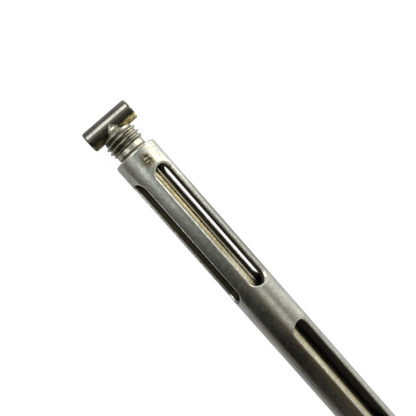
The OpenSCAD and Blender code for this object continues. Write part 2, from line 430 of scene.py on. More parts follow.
# ---------------------------------------------------------------- tail screw
def tail_screw_mesh():
    pitch = 1.1
    M = 44                                               # rows in one pitch
    NTH = 240
    root, crest = 3.38, 3.98
    th_c = -4.8

    def thread_r(u, a):
        """Radius of the threaded stretch at u and azimuth a (turning with the ridge)."""
        polar = pi - a                                   # the ridge climbs with the polar angle
        ph = (u - th_c - pitch * polar / (2 * pi)) / pitch
        ph = ph - math.floor(ph + 0.5)
        d = abs(ph) * pitch                              # distance from the crest's centre line
        # 60 degree flanks with a worn crest and a rounded root
        h = (crest - root)
        flat = 0.045
        x = max(0.0, d - flat)
        r = crest - x * 1.62
        k = 0.035
        r = root + 0.5 * ((r - root) + sqrt((r - root) ** 2 + 4 * k * k)) - 0.0
        r = min(r, crest - 0.25 * max(0, flat - d) * 0.0)
        # how the thread starts by the shoulder and runs out ahead
        a_in = max(0.0, min(1.0, (u + 5.12) / 0.55))
        a_out = max(0.0, min(1.0, (-1.62 - u) / 0.45))
        s_in = a_in * a_in * (3 - 2 * a_in)
        s_out = a_out * a_out * (3 - 2 * a_out)
        return root + (r - root) * min(s_in, s_out)

    verts, faces = [], []
    # stretch of the helical grid
    u_lo, u_hi = -5.42, -0.62
    j0 = -int(math.ceil((pitch * 1.0 + 0.2) / (pitch / M)))
    j1 = int(math.ceil((u_hi - u_lo + 0.2) / (pitch / M)))
    rows = {}
    grid = {}

    def vid(i, j):
        key = (i, j)
        return grid[key]
    for j in range(j0, j1 + 1):
        for i in range(NTH + 1):
            a = -2 * pi * i / NTH                        # azimuth falls as the ridge climbs
            u = u_lo + pitch * j / M + pitch * i / NTH
            u = max(u_lo, min(u_hi, u))
            if i == NTH:
                continue
            grid[(i, j)] = len(verts)
            verts.append(P(u, thread_r(u, a), a))
    for j in range(j0, j1):
        for i in range(NTH):
            if i < NTH - 1:
                q = (grid[(i, j)], grid[(i + 1, j)], grid[(i + 1, j + 1)], grid[(i, j + 1)])
            else:
                if (0, j + M + 1) not in grid:
                    continue
                q = (grid[(i, j)], grid[(0, j + M)], grid[(0, j + M + 1)], grid[(i, j + 1)])
            faces.append(q)

    def ring(u, r, rr=None):
        row = []
        for i in range(NTH):
            a = -2 * pi * i / NTH
            row.append(len(verts))
            uu = u(a) if callable(u) else u
            r2 = r(a) if callable(r) else r
            verts.append(P(uu, r2, a))
        return row

    def join(A, B):
        for i in range(NTH):
            k = (i + 1) % NTH
            faces.append((A[i], A[k], B[k], B[i]))
    root_row = ring(u_hi, root)
    lastr = root_row
    for u, r in [(-0.6, 3.378), (-0.56, 3.345), (-0.5, 3.295), (-0.45, 3.28), (-0.2, 3.28), (0.5, 3.28), (2.85, 3.28), (2.95, 3.25), (3.0, 3.18),
                 (3.0, 2.2), (3.0, 1.82), (2.97, 1.76), (2.9, 1.75), (0, 1.75), (-3.1, 1.75), (-3.2, 1.65), (-3.2, 0.5)]:
        row = ring(u, r)
        join(lastr, row)
        lastr = row
    c = len(verts)
    verts.append(P(-3.2, 0, 0))
    for i in range(NTH):
        faces.append((lastr[i], lastr[(i + 1) % NTH], c))
    # neck and shoulder cone, from the shoulder back to the T-bar's saddle
    sh = ring(u_lo, root)
    br = BAR_R
    lastr = sh
    prof = [(-5.45, 3.375), (-5.475, 3.36), (-5.5, 3.335)]
    u_c, fil = -6.48, 1.1                                # cone meets neck, blended by a sweep
    tl = fil * math.tan(pi / 8)
    for j in range(1, 9):
        u = -5.5 + (u_c + tl * cos(pi / 4) + 5.5) * j / 8
        prof.append((u, br + u - u_c))
    for j in range(1, 11):
        f = pi / 4 * (1 - j / 10)
        prof.append((u_c - tl + fil * sin(f), br + fil - fil * cos(f)))

    def saddle(a, r):
        z = min(r, br - 0.0006) * cos(a)
        return BAR_U + sqrt(max(0.0, br * br - z * z))
    for u, r in prof:
        row = ring(lambda a, u=u, r=r: max(u, saddle(a, r) - 0.2), lambda a, u=u, r=r: r if u >= saddle(a, r) - 0.2 else min(r, br + 0.4))
        join(row, lastr)
        lastr = row
    NB = 10
    for j in range(1, NB + 1):
        f = j / NB
        u_n = u_c - tl

        def un(a, f=f):
            s_ = saddle(a, br) - 0.2
            top = max(u_n, s_)
            return top + (min(s_, top) - top) * f
        row = ring(un, br - 0.0006)
        join(row, lastr)
        lastr = row
    c = len(verts)
    verts.append(P(BAR_U + 1.2, 0, 0))
    for i in range(NTH):
        faces.append((lastr[(i + 1) % NTH], lastr[i], c))
    me_ob = obj_from("tail_screw_turned", verts, faces)
    import bmesh
    bm = bmesh.new()
    bm.from_mesh(me_ob.data)
    bmesh.ops.remove_doubles(bm, verts=bm.verts, dist=2e-7)
    bmesh.ops.dissolve_degenerate(bm, dist=1e-7, edges=bm.edges)
    bmesh.ops.recalc_face_normals(bm, faces=bm.faces)
    for f in bm.faces:
        f.smooth = True
    bm.to_mesh(me_ob.data)
    bm.free()
    me_ob.data.set_sharp_from_angle(angle=radians(60))
    return me_ob


# ---------------------------------------------------------------- materials
def mat(name, base, rough, metallic=1.0):
    m = bpy.data.materials.new(name)
    m.use_nodes = True
    nt = m.node_tree
    nt.nodes.clear()
    out = nt.nodes.new("ShaderNodeOutputMaterial")
    b = nt.nodes.new("ShaderNodeBsdfPrincipled")
    nt.links.new(b.outputs[0], out.inputs[0])
    b.inputs["Base Color"].default_value = (*base, 1)
    b.inputs["Metallic"].default_value = metallic
    b.inputs["Roughness"].default_value = rough
    return m, nt, b


class N:
    """A short way to write node trees."""
    def __init__(self, nt):
        self.nt = nt
        self.co = nt.nodes.new("ShaderNodeTexCoord").outputs["Object"]

    def map(self, scale=(1, 1, 1), loc=(0, 0, 0), rot=(0, 0, 0)):
        n = self.nt.nodes.new("ShaderNodeMapping")
        n.inputs["Scale"].default_value = scale
        n.inputs["Location"].default_value = loc
        n.inputs["Rotation"].default_value = rot
        self.nt.links.new(self.co, n.inputs[0])
        return n.outputs[0]

    def noise(self, vec, scale, detail=4, rough=0.6, dist=0.0):
        n = self.nt.nodes.new("ShaderNodeTexNoise")
        n.inputs["Scale"].default_value = scale
        n.inputs["Detail"].default_value = detail
        n.inputs["Roughness"].default_value = rough
        n.inputs["Distortion"].default_value = dist
        self.nt.links.new(vec, n.inputs["Vector"])
        return n.outputs[0]

    def ramp(self, fac, stops):
        n = self.nt.nodes.new("ShaderNodeValToRGB")
        e = n.color_ramp.elements
        while len(e) > 1:
            e.remove(e[-1])
        e[0].position = stops[0][0]
        e[0].color = (*stops[0][1], 1) if not isinstance(stops[0][1], float) else (stops[0][1],) * 3 + (1,)
        for p, c in stops[1:]:
            x = e.new(p)
            x.color = (*c, 1) if not isinstance(c, float) else (c,) * 3 + (1,)
        self.nt.links.new(fac, n.inputs[0])
        return n.outputs[0]

    def math(self, op, a, b=None, clamp=False):
        n = self.nt.nodes.new("ShaderNodeMath")
        n.operation = op
        n.use_clamp = clamp
        for i, v in enumerate((a, b)):
            if v is None:
                continue
            if isinstance(v, (int, float)):
                n.inputs[i].default_value = v
            else:
                self.nt.links.new(v, n.inputs[i])
        return n.outputs[0]

    def range(self, v, a, b, c, d, smooth=False):
        n = self.nt.nodes.new("ShaderNodeMapRange")
        n.interpolation_type = "SMOOTHSTEP" if smooth else "LINEAR"
        for i, x in enumerate((a, b, c, d)):
            n.inputs[i + 1].default_value = x
        self.nt.links.new(v, n.inputs[0])
        return n.outputs[0]

    def mix(self, fac, a, b, mode="MIX"):
        n = self.nt.nodes.new("ShaderNodeMix")
        n.data_type = "RGBA"
        n.blend_type = mode
        for sock, v in ((n.inputs[0], fac), (n.inputs[6], a), (n.inputs[7], b)):
            if isinstance(v, (int, float)):
                sock.default_value = v
            elif isinstance(v, tuple):
                sock.default_value = (*v, 1)
            else:
                self.nt.links.new(v, sock)
        return n.outputs[2]

    def bump(self, h, strength, dist, prev=None):
        n = self.nt.nodes.new("ShaderNodeBump")
        n.inputs["Strength"].default_value = strength
        n.inputs["Distance"].default_value = dist
        self.nt.links.new(h, n.inputs["Height"])
        if prev is not None:
            self.nt.links.new(prev, n.inputs["Normal"])
        return n.outputs[0]

    def xyz(self, vec=None):
        n = self.nt.nodes.new("ShaderNodeSeparateXYZ")
        self.nt.links.new(vec if vec is not None else self.co, n.inputs[0])
        return n.outputs

    def link(self, a, b):
        self.nt.links.new(a, b)


def worn_steel(name, light, dark, stain, rough=(0.24, 0.42), brush=1.0, stain_amt=0.35, spot=None, bore=None, groove=None, shade_and_tint_u=None, patina_and_dark_reflection=None, fade=None):
    m, nt, b = mat(name, light, rough[0])
    n = N(nt)
    cloud = n.noise(n.map((1, 1.6, 1.6)), 170, 5, 0.62, 0.6)
    fine = n.noise(n.map((1, 1, 1)), 900, 4, 0.6)
    col = n.mix(n.range(cloud, 0.35, 0.66, 0, 1, True), dark, light)
    st = n.math("MULTIPLY", n.range(n.noise(n.map((0.5, 1.4, 1.4), (0.3, 0.2, 0.1)), 120, 6, 0.7, 1.0), 0.5, 0.72, 0, 1, True), stain_amt)
    col = n.mix(st, col, stain)
    spk = n.range(n.noise(n.map(), 2600, 2, 0.5), 0.68, 0.78, 0, 0.35, True)
    col = n.mix(spk, col, tuple(c * 0.45 for c in dark))
    if spot is not None:
        (su, sa), srad = spot
        px = P(su, R, radians(sa))
        vm = nt.nodes.new("ShaderNodeVectorMath")
        vm.operation = "DISTANCE"
        vm.inputs[1].default_value = px
        nt.links.new(n.co, vm.inputs[0])
        wob = n.math("MULTIPLY", n.math("SUBTRACT", n.noise(n.map(), 900, 3, 0.6), 0.5), 0.0028)
        d = n.math("ADD", vm.outputs["Value"], wob)
        f = n.range(d, srad * 0.5, srad + 0.0003, 1, 0, True)
        f = n.math("MULTIPLY", f, n.range(n.noise(n.map(), 2100, 4, 0.7, 0.4), 0.32, 0.56, 0.15, 1.0))
        col = n.mix(n.math("MULTIPLY", f, 0.9), col, n.mix(cloud, (0.30, 0.215, 0.085), (0.10, 0.072, 0.033)))
        ringm = n.range(d, 0.00068, 0.00112, 1, 0, True)
        ringm = n.math("MULTIPLY", ringm, n.range(n.noise(n.map(), 1300, 3, 0.6), 0.36, 0.5, 0.3, 0.95, True))
        col = n.mix(ringm, col, (0.030, 0.022, 0.010))
    if fade is not None:
        col = n.mix(n.range(n.xyz()[0], X0 + fade[0] * MM, X0 + fade[1] * MM, fade[2], 0, True), col, stain)
    if patina_and_dark_reflection is not None:
        # painted dark reflection: a dark band over the upper left of the barrel, growing along its length, with a
        # brown patina tint near the top
        sx, sy, sz = n.xyz()
        ang = n.math("ARCTAN2", sy, n.math("SUBTRACT", sz, ZC))
        ang = n.math("ADD", ang, n.math("MULTIPLY", n.math("SUBTRACT", cloud, 0.5), 0.35))
        pm = n.math("MULTIPLY", n.range(ang, -1.12, -0.88, 0, 1, True), n.range(ang, -0.12, 0.10, 1, 0, True))
        pm = n.math("MULTIPLY", pm, n.range(sx, X0 + patina_and_dark_reflection[0] * MM, X0 + patina_and_dark_reflection[1] * MM, 0, patina_and_dark_reflection[2], True))
        col = n.mix(pm, col, n.mix(n.range(ang, -0.4, -0.1, 0, 1, True), (0.12, 0.11, 0.08), (0.24, 0.165, 0.085)))
    if bore is not None:
        # the cut walls and the bore: old oil and oxide with painted shade, a dark colour on the walls, near black on
        # the bore itself and on the lower walls, lighter near the open rear end
        sx, sy, sz = n.xyz()
        zz = n.math("SUBTRACT", sz, ZC)
        rad = n.math("SQRT", n.math("ADD", n.math("MULTIPLY", sy, sy), n.math("MULTIPLY", zz, zz)))
        rad = n.math("ADD", rad, n.math("MULTIPLY", n.math("SUBTRACT", fine, 0.5), 0.0003))
        ins = n.range(rad, bore[0] * MM, bore[1] * MM, 1, 0, True)
        ins = n.math("MULTIPLY", ins, n.range(sx, X0 + 1.2 * MM, X0 + 2.2 * MM, 0.3, 1, True))
        grime_and_shade = n.mix(cloud, (0.03, 0.026, 0.017), (0.085, 0.072, 0.045))
        shade_black = n.mix(cloud, (0.006, 0.005, 0.004), (0.018, 0.015, 0.010))
        # painted shade: near black on the bore and on the lower walls
        grime_and_shade = n.mix(n.range(rad, 3.42 * MM, 3.6 * MM, 0, 1, True), shade_black, grime_and_shade)
        grime_and_shade = n.mix(n.range(sz, ZC - 2.2 * MM, ZC - 0.6 * MM, 0, 1, True), shade_black, grime_and_shade)
        col = n.mix(ins, col, grime_and_shade)
    if groove is not None:
        # dark colour in the thread's grooves: packed dirt with painted shade, heavier on the left, away from the
        # light; painted shade also on the shank where it enters the barrel; crests rubbed bright
        sx, sy, sz = n.xyz()
        zz = n.math("SUBTRACT", sz, ZC)
        rad = n.math("SQRT", n.math("ADD", n.math("MULTIPLY", sy, sy), n.math("MULTIPLY", zz, zz)))
        rad = n.math("ADD", rad, n.math("MULTIPLY", n.math("SUBTRACT", fine, 0.5), 0.0002))
        gm = n.range(rad, groove[0] * MM, groove[1] * MM, 1, 0, True)
        gm = n.math("MULTIPLY", gm, n.range(sx, X0 - 1.75 * MM, X0 - 1.45 * MM, 1, 0, True))
        gm = n.math("MULTIPLY", gm, n.range(sx, X0 - 5.3 * MM, X0 - 5.05 * MM, 0, 1, True))
        # painted shade: grooves darker on the left, away from the light
        gm = n.math("MULTIPLY", gm, n.range(sy, -0.8 * MM, 3.0 * MM, 1, 0.35, True))
        # painted shade on the shank where it enters the barrel
        edge = n.range(sx, X0 - 0.75 * MM, X0 - 0.5 * MM, 0, 0.75, True)
        gm = n.math("MAXIMUM", gm, edge)
        neck = n.math("MULTIPLY", n.range(sx, X0 - 5.55 * MM, X0 - 5.2 * MM, 1, 0, True), n.range(cloud, 0.35, 0.6, 0.5, 0.15))
        col = n.mix(neck, col, (0.20, 0.165, 0.095))
        col = n.mix(gm, col, n.mix(cloud, (0.024, 0.023, 0.018), (0.085, 0.077, 0.052)))
    # painted highlight: a pale colour on the rounded rims of the slots, the screw hole and the tube's ends
    if bore is not None and bore[0] < 4.5:
        edge = n.math("MULTIPLY", n.range(rad, 4.84 * MM, 4.96 * MM, 1, 0, True), n.math("SUBTRACT", 1.0, ins))
        edge = n.math("MULTIPLY", edge, n.range(cloud, 0.3, 0.6, 0.95, 0.6))
        col = n.mix(edge, col, (0.86, 0.85, 0.78))
    if shade_and_tint_u is not None:
        # painted shade over the bar's half towards the barrel, then a straw-coloured band by the brazed joint: heat
        # tint with a painted reflection, stronger on the right where the light falls
        sx, sy, sz = n.xyz()
        wob = n.math("MULTIPLY", n.math("SUBTRACT", cloud, 0.5), 0.0016)
        px = n.math("ADD", sx, wob)
        # painted shade: the bar's half towards the barrel darkened
        col = n.mix(n.range(px, X0 + (shade_and_tint_u - 0.1) * MM, X0 + (shade_and_tint_u + 1.2) * MM, 0, 0.92, True), col, (0.04, 0.035, 0.023))
        # straw heat tint with a painted reflection, stronger on the right where the light falls
        straw_tint_and_reflection = n.math("MULTIPLY", n.range(px, X0 + (shade_and_tint_u + 1.25) * MM, X0 + (shade_and_tint_u + 1.7) * MM, 0, 0.95, True), n.range(sy, -1.5 * MM, 2.5 * MM, 0.25, 1.0, True))
        straw_tint_and_reflection = n.math("MULTIPLY", straw_tint_and_reflection, n.range(px, X0 + (shade_and_tint_u + 1.95) * MM, X0 + (shade_and_tint_u + 2.3) * MM, 1, 0.3, True))
        col = n.mix(straw_tint_and_reflection, col, (0.62, 0.50, 0.26))
    grain = n.range(n.noise(n.map((0.7, 1, 1), (0.05, 0.02, 0.03)), 2300, 3, 0.6), 0.3, 0.7, 0.76, 1.24)
    col = n.mix(1.0, col, grain, "MULTIPLY")
    n.link(col, b.inputs["Base Color"])
    scr = n.noise(n.map((0.05, 1, 1)), 3800, 3, 0.7)
    rr = n.math("ADD", n.range(cloud, 0.3, 0.7, rough[1], rough[0]), n.math("MULTIPLY", n.math("SUBTRACT", fine, 0.5), 0.12))
    rr = n.math("ADD", rr, n.math("MULTIPLY", st, 0.15))
    if bore is not None:
        rr = n.math("ADD", rr, n.math("MULTIPLY", ins, 0.12))
    n.link(rr, b.inputs["Roughness"])
    nb = n.bump(fine, 0.16, 0.00004)
    nb = n.bump(n.noise(n.map((0.7, 1, 1)), 1500, 2, 0.5), 0.16, 0.00006, nb)
    nb = n.bump(scr, 0.12 * brush, 0.00003, nb)
    pit = n.range(n.noise(n.map(), 2300, 1, 0.4), 0.7, 0.8, 0, -1, True)
    nb = n.bump(pit, 0.12, 0.00003, nb)
    n.link(nb, b.inputs["Normal"])
    return m


M = {}
M["barrel"] = worn_steel("barrel_steel", (0.47, 0.475, 0.425), (0.37, 0.375, 0.325), (0.27, 0.22, 0.14),
                         rough=(0.23, 0.33), stain_amt=0.4, spot=((SET_U + 0.05, SET_AZ + 0.5), 0.0017), bore=(4.35, 4.75), patina_and_dark_reflection=(24, 62, 0.8))
M["grip"] = worn_steel("grip_steel", (0.46, 0.465, 0.42), (0.36, 0.365, 0.32), (0.27, 0.22, 0.14), rough=(0.24, 0.36), stain_amt=0.4)
M["screw"] = worn_steel("tail_screw_steel", (0.56, 0.545, 0.45), (0.39, 0.375, 0.30), (0.25, 0.20, 0.11), rough=(0.18, 0.3), stain_amt=0.55, groove=(3.45, 3.82))
M["bar"] = worn_steel("t_bar_steel", (0.215, 0.207, 0.183), (0.155, 0.147, 0.124), (0.13, 0.10, 0.052), rough=(0.13, 0.22), stain_amt=0.45, shade_and_tint_u=BAR_U)
M["tube"] = worn_steel("lead_tube_olive", (0.90, 0.84, 0.62), (0.70, 0.64, 0.44), (0.34, 0.27, 0.12), rough=(0.22, 0.36), stain_amt=0.5, fade=(26, 33, 0.6))
M["brass"] = worn_steel("aged_brass", (0.50, 0.37, 0.17), (0.33, 0.24, 0.10), (0.16, 0.11, 0.045), rough=(0.25, 0.42), stain_amt=0.5)
# the bore mask paints the set screw's slot and sides dark: grime with painted shade
M["rust"] = worn_steel("rusty_screw_steel", (0.50, 0.46, 0.36), (0.28, 0.23, 0.14), (0.10, 0.065, 0.028), rough=(0.26, 0.42), stain_amt=0.9, bore=(4.70, 4.80))
M["spring"] = worn_steel("spring_wire", (0.52, 0.52, 0.50), (0.42, 0.42, 0.40), (0.28, 0.24, 0.18), rough=(0.2, 0.32), stain_amt=0.3)
M["hard"] = worn_steel("hardened_steel", (0.42, 0.41, 0.38), (0.32, 0.31, 0.28), (0.22, 0.18, 0.13), rough=(0.2, 0.34), stain_amt=0.4)
g, nt, b = mat("graphite_lead", (0.035, 0.035, 0.038), 0.42, 0.35)
n = N(nt)
gf = n.noise(n.map((0.2, 1, 1)), 3000, 4, 0.6)
n.link(n.mix(gf, (0.022, 0.022, 0.024), (0.06, 0.06, 0.065)), b.inputs["Base Color"])
n.link(n.range(gf, 0.3, 0.7, 0.34, 0.5), b.inputs["Roughness"])
n.link(n.bump(gf, 0.15, 0.00003), b.inputs["Normal"])
M["lead"] = g


def finish_piece(ob, body, slot, material, *nodes):
    ob.data.materials.clear()
    ob.data.materials.append(material)
    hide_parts(*nodes)
    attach(ob, body)


SLOT_OF = {nd: s for nd, s in (("barrel", "satin_steel"),)}

# ---------------------------------------------------------------- pieces
barrel = barrel_mesh()
finish_piece(barrel, "barrel_assembly", "satin_steel", M["barrel"], "barrel")

screw = tail_screw_mesh()
finish_piece(screw, "tail_screw_assembly", "screw_steel", M["screw"], "tail_screw")


def bar_mesh():
    """The T-bar: a turned pin with rounded ends, lying across the pencil."""
    L, r = BAR_L, BAR_R
    prof = rounded([(-L / 2, 0), (-L / 2, r, 0.5), (L / 2, r, 0.5), (L / 2, 0)], 0.4, 8)
    # faintly domed ends
    verts, norms, faces, rings = [], [], [], []
    seg = 160
    cy = (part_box("cross_bar")[0][1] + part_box("cross_bar")[1][1]) / 2 / MM
    for p, nn in prof:
        if p[1] < 1e-6:
            rings.append([len(verts)])
            verts.append((X0 + BAR_U * MM, (cy + p[0]) * MM, ZC))
            norms.append((0, 1 if p[0] > 0 else -1, 0))
            continue
        row = []
        for s in range(seg):
            a = 2 * pi * s / seg
            row.append(len(verts))
            verts.append((X0 + (BAR_U + p[1] * cos(a)) * MM, (cy + p[0]) * MM, ZC + p[1] * sin(a) * MM))
            norms.append((nn[1] * cos(a), nn[0], nn[1] * sin(a)))
        rings.append(row)
    m = len(rings)
    for i in range(m - 1):
        A, B = rings[i], rings[i + 1]
        for s in range(seg):
            t = (s + 1) % seg
            if len(A) == 1:
                faces.append((A[0], B[s], B[t]))
            elif len(B) == 1:
                faces.append((A[t], A[s], B[0]))
            else:
                faces.append((A[s], B[s], B[t], A[t]))
    return obj_from("t_bar", verts, faces, norms)


def set_screw_mesh():
    """A slotted grub screw, a little sunk in its hole, with a domed head and a worn slot."""
    az = radians(SET_AZ)
    e_h, e_w = Vector((0, sin(az), cos(az))), Vector((0, cos(az), -sin(az)))
    e_u = Vector((1, 0, 0))
    org = Vector((X0 + SET_U * MM, 0, ZC))
    verts, norms, faces = [], [], []
    rr, hw, floor_h, top = 0.66, 0.15, 4.48, 4.84

    def add(a, b_, h):
        verts.append(tuple(org + (e_u * a + e_w * b_ + e_h * h) * MM))
        return len(verts) - 1

    def dome(a, b_):
        d = hypot(a, b_)
        return top + 0.05 * (1 - (d / rr) ** 2) - (0.04 * max(0.0, (d - rr + 0.09) / 0.09) ** 2)
    NS = 24
    for sgn in (-1, 1):
        # each half of the head: a circle's segment beyond the slot
        f0 = math.acos(hw / rr)
        rows = []
        for i in range(NS + 1):
            f = -f0 + 2 * f0 * i / NS
            ea, eb = sgn * rr * cos(f), rr * sin(f)
            row = []
            for k in range(7):
                g_ = k / 6
                g_ = 1 - (1 - g_) ** 1.6
                a = sgn * hw + (ea - sgn * hw) * g_
                b_ = eb if abs(eb) < 1e-9 else eb
                h = dome(a, b_)
                if k == 0:
                    h -= 0.02
                row.append(add(a, b_, h))
            rows.append(row)
        for i in range(NS):
            for k in range(6):
                faces.append((rows[i][k], rows[i + 1][k], rows[i + 1][k + 1], rows[i][k + 1]) if sgn < 0 else
                             (rows[i][k], rows[i][k + 1], rows[i + 1][k + 1], rows[i + 1][k]))
        # slot wall and outer wall
        low_in = [add(sgn * hw, rr * sin(-f0 + 2 * f0 * i / NS), floor_h) for i in range(NS + 1)]
        low_out = [add(sgn * rr * cos(-f0 + 2 * f0 * i / NS), rr * sin(-f0 + 2 * f0 * i / NS), 4.25) for i in range(NS + 1)]
        for i in range(NS):
            faces.append((rows[i][0], low_in[i], low_in[i + 1], rows[i + 1][0]))
            faces.append((rows[i][6], rows[i + 1][6], low_out[i + 1], low_out[i]))
        if sgn < 0:
            prev_in, prev_out = low_in, low_out
        else:
            for i in range(NS):
                faces.append((prev_in[i], low_in[i], low_in[i + 1], prev_in[i + 1]))
                faces.append((prev_out[i], prev_out[i + 1], low_out[i + 1], low_out[i]))
            for i in (0, NS):
                faces.append((prev_in[i], low_in[i], low_out[i], prev_out[i]))
    ob = obj_from("set_screw_head", verts, faces)
    import bmesh
    bm = bmesh.new()
    bm.from_mesh(ob.data)
    bmesh.ops.remove_doubles(bm, verts=bm.verts, dist=1e-6)
    bmesh.ops.recalc_face_normals(bm, faces=bm.faces)
    for f in bm.faces:
        f.smooth = True
    bm.to_mesh(ob.data)
    bm.free()
    ob.data.set_sharp_from_angle(angle=radians(35))
    return ob


grub = set_screw_mesh()
finish_piece(grub, "barrel_assembly", "stained_steel", M["rust"], "bush_set_screw")

tbar = bar_mesh()
finish_piece(tbar, "tail_screw_assembly", "polished_steel", M["bar"], "cross_bar")


# ---------------------------------------------------------------- turned pieces
def turned(name, node, body, slot, material, profile, rho=0.06, seg=128, k=4, split=None):
    ob = lathe(name, profile, rho, seg, k, split=split)
    finish_piece(ob, body, slot, M[material], node)
    return ob


# grip sleeve: spigot in the barrel, nine finger grooves, seat for the nose
outer = [(86.3, 4.0), (94.01, 4.0, 0.02), (94.01, 4.7, 0.02), (94.33, 5.0, 0.12)]
for g_i in range(9):
    cu = 97 + 1.5 * g_i
    hw_ = math.asin(0.487 / 0.6)
    for q in range(11):
        f = -hw_ + 2 * hw_ * q / 10
        outer.append((cu + 0.6 * sin(f), 5.35 - 0.6 * cos(f), 0.07 if q in (0, 10) else 0))
outer += [(112.0, 5.0, 0.12), (112.0, 3.8, 0.05), (106.0, 3.8, 0.05), (106.0, 2.6, 0.05), (100.8, 2.6, 0.05), (100.8, 3.4, 0.05), (86.3, 3.4, 0.1)]
turned("grip_sleeve_turned", "grip_sleeve", "barrel_assembly", "satin_steel", "grip", outer, 0.08, 160, split=1.5)

nose = [(106.2, 3.8, 0.2), (112.01, 3.8, 0.02), (112.01, 4.75, 0.02), (112.28, 5.0, 0.1), (114, 5.0, 12), (118, 4.72, 30), (122, 4.3, 30),
        (126.5, 3.75, 30), (131.08, 3.3, 0.3), (131.5, 3.0, 0.12), (131.5, 2.75, 0.05), (128.5, 2.75, 0.05), (128.5, 2.2, 0.05), (116.35, 2.2, 0.05), (116.35, 2.6, 0.05), (106.2, 2.6, 0.1)]
turned("nose_cone_turned", "nose_cone", "barrel_assembly", "satin_steel", "grip", nose, 0.08, 160, k=10, split=1.5)
turned("clutch_ring_turned", "clutch_ring", "barrel_assembly", "polished_steel", "hard",
       [(128.5, 2.05), (128.5, 2.75), (131.35, 2.75, 0.04), (131.5, 2.6, 0.05), (131.5, 2.47, 0.1)], 0.04, 128)
turned("guide_bush_turned", "guide_bush", "barrel_assembly", "brass", "brass",
       [(41, 1.75, 0.2), (41, 3.39, 0.2), (48, 3.39, 0.2), (48, 1.75, 0.2)], 0.2, 96, split=1.0)
turned("spring_seat_turned", "spring_seat", "barrel_assembly", "polished_steel", "hard",
       [(100, 1.78), (100, 3.38), (100.8, 3.38), (100.8, 1.78)], 0.06, 96)
turned("lead_tube_drawn", "lead_tube", "push_assembly", "warm_steel", "tube",
       [(-3, 1.15), (-3, 1.7), (108, 1.7), (108, 1.15)], 0.1, 96, split=2.0)
turned("thrust_washer_turned", "thrust_washer", "push_assembly", "brass", "brass",
       [(3.04, 1.74), (3.04, 2.8), (3.34, 2.8), (3.34, 1.74)], 0.05, 96)
turned("thrust_collar_turned", "thrust_collar", "push_assembly", "brass", "brass",
       [(3.36, 1.7, 0), (3.36, 2.9), (4.1, 2.9), (4.4, 2.6), (4.4, 1.7, 0)], 0.06, 96)
turned("spring_collar_turned", "spring_collar", "push_assembly", "brass", "brass",
       [(85.8, 1.7, 0), (85.8, 3.15), (87.8, 3.15), (87.8, 1.7, 0)], 0.12, 96)
turned("clutch_body_turned", "clutch_body", "push_assembly", "brass", "brass",
       [(103, 1.7, 0.03), (103, 2.1, 0.05), (103.3, 2.4), (111.5, 2.4), (112.2, 1.8), (113.0, 1.8, 0.02), (113.0, 1.15, 0.02), (108, 1.15, 0.05), (108, 1.7, 0.03)], 0.12, 96, split=1.5)
turned("lead_stick", "lead", "lead_body", "graphite", "lead",
       [(19, 0), (19, 0.98, 0.1), (136.4, 1.0, 0.3), (138.88, 0.22, 0.1), (139, 0.08, 0.03), (139, 0)], 0.05, 72, split=2.0)


def spring_mesh():
    """Compression spring: round wire, open middle turns and closed ends, wound right-handed."""
    wire, rm = 0.3, 2.5
    u0, u1 = 87.85, 99.95
    turns, per, sides = 8.0, 44, 14
    n = int(turns * per)
    free = (u1 - u0) - 2 * wire                          # travel of the wire's centre
    dead = 0.62                                          # pitch of a closed turn
    lift = (free - 2 * dead) / (turns - 2)

    def rise(t):
        # height of the wire's centre after t turns, eased at the closed ends
        def ease_in(q):
            return dead * q if q <= 1 else dead + lift * (q - 1)
        if t <= 1.5:
            a, b_ = dead, lift
            q = max(0.0, (t - 0.5))
            return a * min(t, 0.5) + (a * q + (b_ - a) * q * q / 2 if t > 0.5 else 0)
        return ease_in(t) + 0.0
    verts, norms, faces = [], [], []
    for i in range(n + 1):
        t = turns * i / n
        z_ = rise(t) if t <= turns / 2 else free - rise(turns - t)
        a = 2 * pi * t
        for k in range(sides):
            b_ = 2 * pi * k / sides
            r_ = rm + wire * cos(b_)
            verts.append(P(u0 + wire + z_ + wire * sin(b_), r_, -a))
            norms.append((sin(b_), cos(b_) * sin(-a), cos(b_) * cos(-a)))
    for i in range(n):
        for k in range(sides):
            q = (k + 1) % sides
            faces.append((sides * i + k, sides * (i + 1) + k, sides * (i + 1) + q, sides * i + q))
    for e_, sgn in ((0, -1), (n, 1)):
        base = len(verts)
        a = -2 * pi * turns * e_ / n
        for k in range(sides):
            verts.append(verts[sides * e_ + k])
            norms.append((0, sgn * -cos(a), sgn * sin(a)))
        faces.append(tuple(range(base, base + sides)))
    ob = obj_from("clutch_spring_wound", verts, faces, norms)
    import bmesh
    return ob


spring = spring_mesh()
finish_piece(spring, "barrel_assembly", "spring_steel", M["spring"], "clutch_spring")
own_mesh(spring)

# pieces that keep their CAD shape get a finish of their own
KEEP = {"tail_bush": "brass", "clutch_jaw_a": "hard", "clutch_jaw_b": "hard", "clutch_jaw_c": "hard"}
for node, key in KEEP.items():
    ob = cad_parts[node]
    if len(ob.material_slots) == 0:
        ob.data.materials.append(M[key])
    for s in ob.material_slots:
        s.material = M[key]

